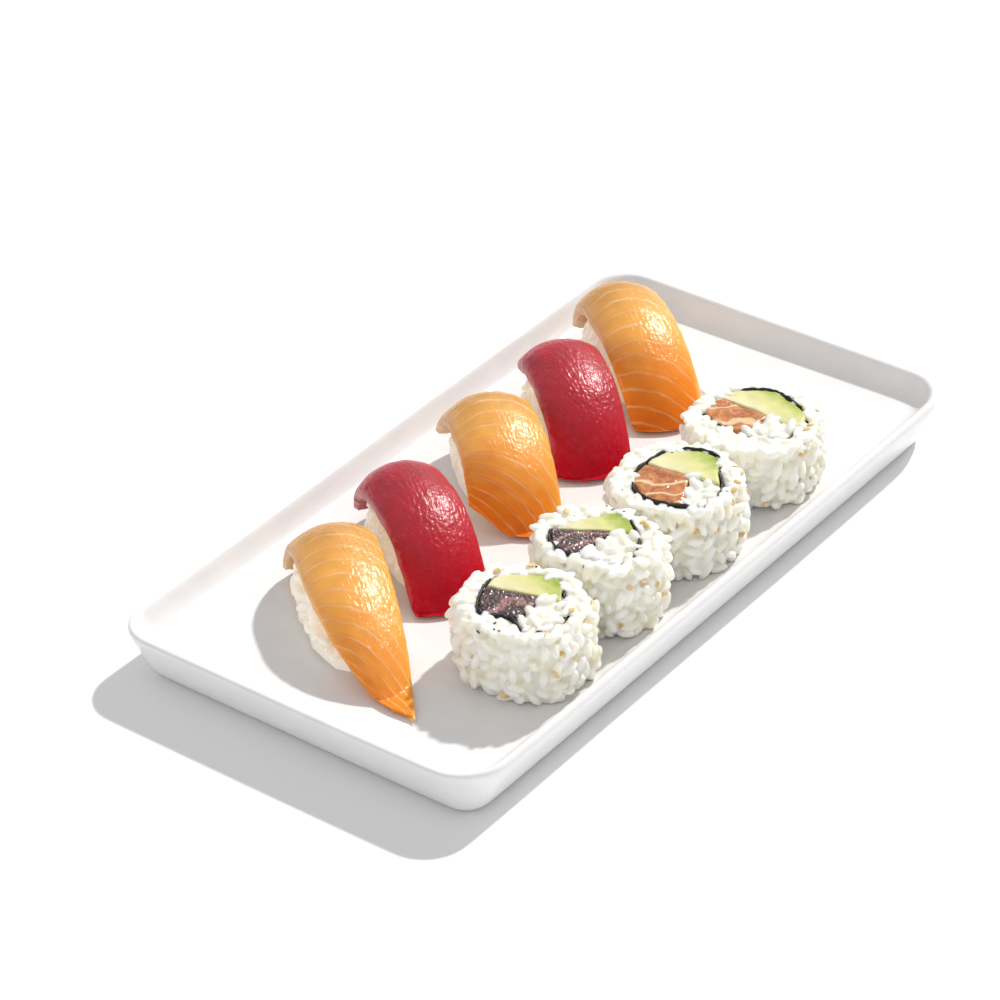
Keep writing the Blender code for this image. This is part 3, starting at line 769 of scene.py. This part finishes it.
# How each layer's grains lie: the least and the most mm that their middles sink, and how far they tilt.
SIDE_GRAINS = ((0.5, 1.4), 0.3)
UNDER_SIDE_GRAINS = ((2.0, 2.6), 0.3)
TOP_GRAINS = ((0.7, 1.3), 0.12)
COVER_GRAINS = ((0.8, 1.2), 0.1)
CENTRE_GRAINS = ((0.3, 1.3), 0.35)
MOUND_GRAINS = ((0.8, 1.4), 0.3)

TOP_DEPTH = 4  # mm within which a grain counts as lying on a roll's top
COVER_SHARE = 0.93  # of the grains on the nori that stay
CUT_HEIGHT = 0.3  # mm below the CAD's top, above which the knife pressed the grains down
CUT_PRESS = 0.35
MOUND_AXIS_HEIGHT = 6 * MM
MOUND_AXIS_REACH = 20  # mm each way from its middle
MOUND_RAY_LENGTH = 60 * MM

# Degrees from +X round each roll's nori: the stretches that no rice covers.
NORI_SHOWN = {
    "roll_1": ((80, 212), (222, 245), (251, 274), (298, 328)),
    "roll_2": ((108, 190), (264, 350)),
    "roll_3": ((255, 335), (346, 402), (414, 478), (490, 587)),
    "roll_4": ((310, 420), (150, 166)),
}
SHOWN_BORDER = 4  # degrees over which the rice covers the nori


def grain_place(spot, normal, rng, lift):
    """The place of a grain that lies on the heap in a random direction, one end raised by up to `lift`."""
    side = normal.orthogonal().normalized()
    along = Matrix.Rotation(rng.uniform(0, 2 * math.pi), 3, normal) @ side
    along = (along + normal * rng.uniform(-lift, lift)).normalized()
    across = normal.cross(along).normalized()
    up = along.cross(across)
    growth = rng.uniform(*GRAIN_GROWTH)
    length, width, height = (size * growth * MM for size in GRAIN_SIZE)
    length *= rng.uniform(*GRAIN_STRETCH)
    turn = Matrix((along, across, up)).transposed().to_4x4()
    return Matrix.Translation(spot) @ turn @ Matrix.Diagonal((length, width, height, 1))


def add_copies(bm, places):
    """Adds a ball of unit size to the bmesh at each place, which stretches and turns it."""
    ball = bmesh.new()
    bmesh.ops.create_icosphere(ball, subdivisions=2, radius=0.5)
    points = np.array([(*vert.co, 1) for vert in ball.verts])
    faces = np.array([[vert.index for vert in face.verts] for face in ball.faces])
    ball.free()
    all_points = np.concatenate([points @ np.array(place).T[:, :3] for place in places])
    all_faces = np.concatenate([faces + number * len(points) for number in range(len(places))])
    copies = bpy.data.meshes.new("copies")
    copies.from_pydata(all_points.tolist(), [], all_faces.tolist())
    bm.from_mesh(copies)
    bpy.data.meshes.remove(copies)


def least_distance(points, others):
    return np.sqrt(((points[:, None] - others[None]) ** 2).sum(axis=2).min())


def packed(surface, rays, rng, sink, lift):
    """Grains laid where rays meet the surface, each turned to lie in the room that the others leave. `sink`
    is the least and the most mm from the surface down to a grain's middle."""
    places = []
    taken = np.empty((3 * len(rays), 3))
    count = 0
    for origin, direction in rays:
        hit, normal, _, _ = surface.ray_cast(origin, direction)
        if hit is None:
            continue
        normal = normal if normal.dot(direction) < 0 else -normal
        spot = hit - normal * rng.uniform(*sink) * MM
        nearby = taken[:count]
        nearby = nearby[(np.abs(nearby - spot) < GRAIN_NEARBY * MM).all(axis=1)]
        if len(nearby) and least_distance(np.array([spot]), nearby) < GRAIN_GAP * MM:
            continue
        best_room = GRAIN_GAP * MM
        best = None
        for _ in range(GRAIN_TRIES):
            place = grain_place(spot, normal, rng, lift)
            line = np.array([place @ Vector((share, 0, 0)) for share in (-GRAIN_REACH, 0, GRAIN_REACH)])
            room = least_distance(line, nearby) if len(nearby) else 2 * best_room
            if room > best_room:
                best_room = room
                best = (place, line)
        if best:
            places.append(best[0])
            taken[count:count + 3] = best[1]
            count += 3
    return places


def rays_from_round(low, high, count, rng):
    """Level rays from all round a box towards its upright axis."""
    middle = (low + high) / 2
    far = (high - low).length
    rays = []
    for _ in range(count):
        angle = rng.uniform(0, 2 * math.pi)
        outward = Vector((math.cos(angle), math.sin(angle), 0))
        origin = middle + outward * far
        origin.z = rng.uniform(low.z, high.z)
        rays.append((origin, -outward))
    return rays


def rays_from_above(low, high, count, rng):
    rays = []
    for _ in range(count):
        x = rng.uniform(low.x, high.x)
        y = rng.uniform(low.y, high.y)
        rays.append((Vector((x, y, high.z + RAY_LIFT)), -UP))
    return rays


def rays_towards_axis(low, high, heading, count, rng):
    """Rays from above and from all round towards the level middle line of a long heap."""
    middle = (low + high) / 2
    middle.z = low.z + MOUND_AXIS_HEIGHT
    line = Vector((math.cos(heading), math.sin(heading), 0))
    rays = []
    for _ in range(count):
        target = middle + line * rng.uniform(-MOUND_AXIS_REACH, MOUND_AXIS_REACH) * MM
        direction = Vector([rng.gauss(0, 1) for _ in range(3)]).normalized()
        direction.z = abs(direction.z)
        rays.append((target + direction * MOUND_RAY_LENGTH, -direction))
    return rays


def shrink_core(bm, middle, top):
    """Draws the outside of a ring of rice in, and its top down, by the depth that the grains take up."""
    for vert in bm.verts:
        outward = Vector((vert.co.x - middle.x, vert.co.y - middle.y, 0)).normalized()
        if vert.normal.dot(outward) > 0:
            vert.co -= outward * CORE_DEPTH * MM
        if vert.co.z > top - TOP_REACH * MM:
            vert.co.z -= CORE_DROP * MM


def turn_round(spot, middle):
    """The direction of a spot from the middle, in degrees from +X, from 0 to 360."""
    return math.degrees(math.atan2(spot.y - middle.y, spot.x - middle.x)) % 360


def nori_hidden(name, spot):
    """How far rice covers the nori at a spot, from 0 to 1."""
    low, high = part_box(name + "_nori")
    turn = turn_round(spot, (low + high) / 2)
    inside = 0
    for first, last in NORI_SHOWN[name]:
        if (turn - first) % 360 <= last - first:
            inside = max(inside, min((turn - first) % 360, (last - turn) % 360))
    return 1 - min(inside / SHOWN_BORDER, 1)


def lies_on_top(place, top):
    return place.translation.z > top - TOP_DEPTH * MM


def add_outer_rice(name, seed, material):
    """The ring of rice round a roll: grains on its side in two layers, on its top, and over much of the nori,
    melted together with the core and pressed level where the knife cut."""
    node = name + "_outer_rice"
    rng = random.Random(seed)
    bm = solid_copy(node)
    surface = BVHTree.FromBMesh(bm)
    low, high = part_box(node)
    middle = (low + high) / 2
    shrink_core(bm, middle, high.z)
    side = packed(surface, rays_from_round(low, high, SIDE_RAYS, rng), rng, *SIDE_GRAINS)
    side += packed(surface, rays_from_round(low, high, UNDER_SIDE_RAYS, rng), rng, *UNDER_SIDE_GRAINS)
    above = rays_from_above(low, high, TOP_RAYS, rng)
    top = [place for place in packed(surface, above, rng, *TOP_GRAINS) if lies_on_top(place, high.z)]
    strip = solid_copy(name + "_nori")
    strip_top = BVHTree.FromBMesh(strip)
    strip.free()
    above = rays_from_above(*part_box(name + "_nori"), COVER_RAYS, rng)
    for place in packed(strip_top, above, rng, *COVER_GRAINS):
        if nori_hidden(name, place.translation) > 0.9 and rng.random() < COVER_SHARE:
            top.append(place)
    add_copies(bm, side + top)
    mesh = melted(bm, name + "_rice_ring", RICE_VOXEL, 1)
    points = points_of(mesh)
    cut = high.z - CUT_HEIGHT * MM
    points[:, 2] = np.where(points[:, 2] > cut, cut + (points[:, 2] - cut) * CUT_PRESS, points[:, 2])
    points[:, 2] = np.maximum(points[:, 2], low.z)
    move_points(mesh, points)
    return add_piece(name + "_rice_ring", mesh, material, "cooked_rice", node)


def add_inner_rice(name, seed, material):
    """The rice inside the nori, with grains on its top."""
    node = name + "_inner_rice"
    rng = random.Random(seed + 50)
    bm = solid_copy(node)
    surface = BVHTree.FromBMesh(bm)
    low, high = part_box(node)
    bmesh.ops.translate(bm, verts=[vert for vert in bm.verts if vert.co.z > high.z - MM], vec=(0, 0, -MM))
    add_copies(bm, packed(surface, rays_from_above(low, high, CENTRE_RAYS, rng), rng, *CENTRE_GRAINS))
    mesh = melted(bm, name + "_rice_centre", RICE_VOXEL, 1)
    add_piece(name + "_rice_centre", mesh, material, "cooked_rice", node)


def add_mound(name, spec, seed, material):
    """The pressed mound of rice under a slice: grains melted together with a core."""
    node = name + "_rice"
    rng = random.Random(seed + 100)
    bm = solid_copy(node)
    surface = BVHTree.FromBMesh(bm)
    low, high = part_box(node)
    for vert in bm.verts:
        vert.co -= vert.normal * CORE_DEPTH * MM
        vert.co.z = max(vert.co.z, low.z)
    rays = rays_towards_axis(low, high, math.radians(spec["heading"]), MOUND_RAYS, rng)
    add_copies(bm, packed(surface, rays, rng, *MOUND_GRAINS))
    mesh = melted(bm, name + "_rice_mound", RICE_VOXEL, 1)
    points = points_of(mesh)
    points[:, 2] = np.maximum(points[:, 2], low.z)
    move_points(mesh, points)
    add_piece(name + "_rice_mound", mesh, material, "cooked_rice", node)


# ---------------------------------------------------------------- sesame and crumbs of nori

SEED_SIZE = (3.0, 1.9, 0.9)  # mm
SEED_GROWTH = (0.85, 1.1)
SEEDS_PER_ROLL = 15
SEED_LIFT = 0.15  # mm from the rice to a seed's middle
SEEDS_TOWARDS = -55  # degrees from +X, round the roll
SEEDS_SPREAD = 55
SEEDS_ON_TOP = (0.8, 0.98)  # shares of the roll's radius
CRUMB_SIZE = (1.5, 0.8, 0.3)  # mm
CRUMB_GROWTH = (0.6, 1.1)
CRUMBS_PER_ROLL = 9
CRUMBED_ROLLS = 3
CRUMBS_ON_TOP = (0.55, 0.9)
BESIDE = 0.05  # how far from a roll's middle its level rays start


def seed_ray(number, low, high, rng):
    """Towards the roll's side, most often the one away from the nigiri, or for each fourth seed its top."""
    middle = (low + high) / 2
    angle = math.radians(rng.gauss(SEEDS_TOWARDS, SEEDS_SPREAD))
    outward = Vector((math.cos(angle), math.sin(angle), 0))
    if number % 4:
        origin = middle + outward * BESIDE
        origin.z = rng.uniform(low.z + 2 * MM, high.z - MM)
        return origin, -outward
    origin = middle + outward * rng.uniform(*SEEDS_ON_TOP) * (high.x - low.x) / 2
    origin.z = high.z + RAY_LIFT
    return origin, -UP


def crumb_ray(_, low, high, rng):
    """Down on the roll's top."""
    angle = rng.uniform(0, 2 * math.pi)
    reach = rng.uniform(*CRUMBS_ON_TOP) * (high.x - low.x) / 2
    origin = (low + high) / 2 + Vector((math.cos(angle), math.sin(angle), 0)) * reach
    origin.z = high.z + RAY_LIFT
    return origin, -UP


def flake_place(spot, normal, size, growth, rng):
    """The place of a flake that lies flat on the rice, turned at random."""
    along = Matrix.Rotation(rng.uniform(0, 2 * math.pi), 3, normal) @ normal.orthogonal().normalized()
    turn = Matrix((along, normal.cross(along), normal)).transposed().to_4x4()
    sizes = Matrix.Diagonal((*[part * rng.uniform(*growth) * MM for part in size], 1))
    return Matrix.Translation(spot) @ turn @ sizes


def scattered(rings, count, ray_of, size, growth, lift, rng):
    """The places of `count` flakes on each ring of rice, where their rays meet it."""
    places = []
    for ring in rings:
        corners = [vert.co for vert in ring.data.vertices]
        surface = BVHTree.FromPolygons(corners, [face.vertices for face in ring.data.polygons])
        low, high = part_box(ring.name.replace("_rice_ring", "_outer_rice"))
        for number in range(count):
            spot, normal, _, _ = surface.ray_cast(*ray_of(number, low, high, rng))
            if spot is not None:
                places.append(flake_place(spot + normal * lift * MM, normal, size, growth, rng))
    return places


def add_sesame(rings):
    """Toasted seeds stuck flat on the rolls."""
    rng = random.Random(5)
    bm = bmesh.new()
    add_copies(bm, scattered(rings, SEEDS_PER_ROLL, seed_ray, SEED_SIZE, SEED_GROWTH, SEED_LIFT, rng))
    add_piece("sesame_seeds", mesh_of(bm, "sesame_seeds"), toasted_sesame(), "")


def add_nori_crumbs(rings, material):
    """Crumbs of nori that the knife left on the tops of the rolls."""
    rng = random.Random(17)
    bm = bmesh.new()
    add_copies(bm, scattered(rings, CRUMBS_PER_ROLL, crumb_ray, CRUMB_SIZE, CRUMB_GROWTH, 0, rng))
    add_piece("nori_crumbs", mesh_of(bm, "nori_crumbs"), material, "nori")


# ---------------------------------------------------------------- fillings

FILLING_VOXEL = 0.6
FILLING_BORDER = 3  # mm below the top, over which its unevenness fades out
FILLING_LUMPS = 5
FILLING_RELIEF = 0.5
FILLING_SINK = 0.2
STRIP_RAGGEDNESS = 0.6  # mm that the nori's upper edge goes up and down
STRIP_LUMPS = 1.8
STRIP_SINK = 2.4  # mm that the nori lies lower where rice covers it
STRIP_CUTS = 2
STRIP_FOLD = math.radians(40)  # a sharper angle than this is an edge


def add_filling(node, seed, material, slot):
    """A piece of filling with knife-rounded edges and an uneven top."""
    mesh = melted(solid_copy(node), node + "_cut", FILLING_VOXEL, 3)
    points = points_of(mesh)
    low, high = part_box(node)
    upper = np.clip((points[:, 2] - high.z + FILLING_BORDER * MM) / (FILLING_BORDER * MM), 0, 1)
    points[:, 2] += upper * (FILLING_RELIEF * lumps(points, FILLING_LUMPS, seed) - FILLING_SINK) * MM
    move_points(mesh, points)
    piece = add_piece(node + "_cut", mesh, material, slot, node)
    return piece, points, low, high


def add_avocado(name, seed, material):
    """The avocado, with how near each point is to its skin, which was on the +X and -Y sides."""
    piece, points, low, high = add_filling(name + "_avocado", seed, material, "avocado")
    rightward = (points[:, 0] - low.x) / (high.x - low.x)
    nearward = (high.y - points[:, 1]) / (high.y - low.y)
    ripeness = rightward * 0.7 + nearward * 0.4 - 0.15
    attribute = piece.data.attributes.new("ripeness", "FLOAT", "POINT")
    attribute.data.foreach_set("value", ripeness.astype(np.float32))


def add_nori(name, seed, material):
    """The strip of nori with a ragged upper edge."""
    node = name + "_nori"
    bm = solid_copy(node)
    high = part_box(node)[1]
    level = [edge for edge in bm.edges if abs(edge.verts[0].co.z - edge.verts[1].co.z) < 0.1 * MM]
    long_level = [edge for edge in level if edge.calc_length() > 1.0 * MM]
    bmesh.ops.subdivide_edges(bm, edges=long_level, cuts=STRIP_CUTS, use_grid_fill=True)
    for vert in bm.verts:
        if vert.co.z > high.z - TOP_REACH * MM:
            ragged = noise.noise(vert.co / (STRIP_LUMPS * MM) + Vector((seed, 0, 0)))
            vert.co.z += STRIP_RAGGEDNESS * ragged * MM
            vert.co.z -= STRIP_SINK * nori_hidden(name, vert.co) * MM
    bmesh.ops.triangulate(bm, faces=bm.faces)
    mesh = mesh_of(bm, name + "_nori_strip")
    mesh.set_sharp_from_angle(angle=STRIP_FOLD)
    add_piece(name + "_nori_strip", mesh, material, "nori", node)


# ---------------------------------------------------------------- the whole platter


def main():
    add_camera()
    add_light()
    add_floor()
    add_platter()
    rice = sticky_rice("boiled_sticky_rice", depth=3.5, glow=0.0)
    heaped_rice = sticky_rice("boiled_heaped_rice", depth=3.2, glow=0.16)
    flesh = {"salmon": raw_salmon(), "tuna": raw_tuna()}
    cut_flesh = {
        "salmon": cut_fish("cut_salmon_flesh", "#a8561f", "#d68c46", "#f0c89a", 3, grit_height=0.4),
        "tuna": cut_fish("cut_tuna_flesh", "#241012", "#5e2c2c", "#9c6a66", 2, grit_height=1.1),
    }
    for name in NIGIRI:
        spec = nigiri_spec(name)
        add_slice(name, spec, flesh[spec["fish"]])
        add_mound(name, spec, int(name[-1]), heaped_rice)
    avocado = ripe_avocado()
    nori = roasted_nori()
    rings = []
    for number, fish in enumerate(("tuna", "tuna", "salmon", "salmon"), start=1):
        name = f"roll_{number}"
        rings.append(add_outer_rice(name, number, rice))
        add_inner_rice(name, number, rice)
        add_avocado(name, number, avocado)
        add_filling(name + "_" + fish, number + 10, cut_flesh[fish], fish)
        add_nori(name, number, nori)
    add_sesame(rings)
    add_nori_crumbs(rings[:CRUMBED_ROLLS], nori)


main()
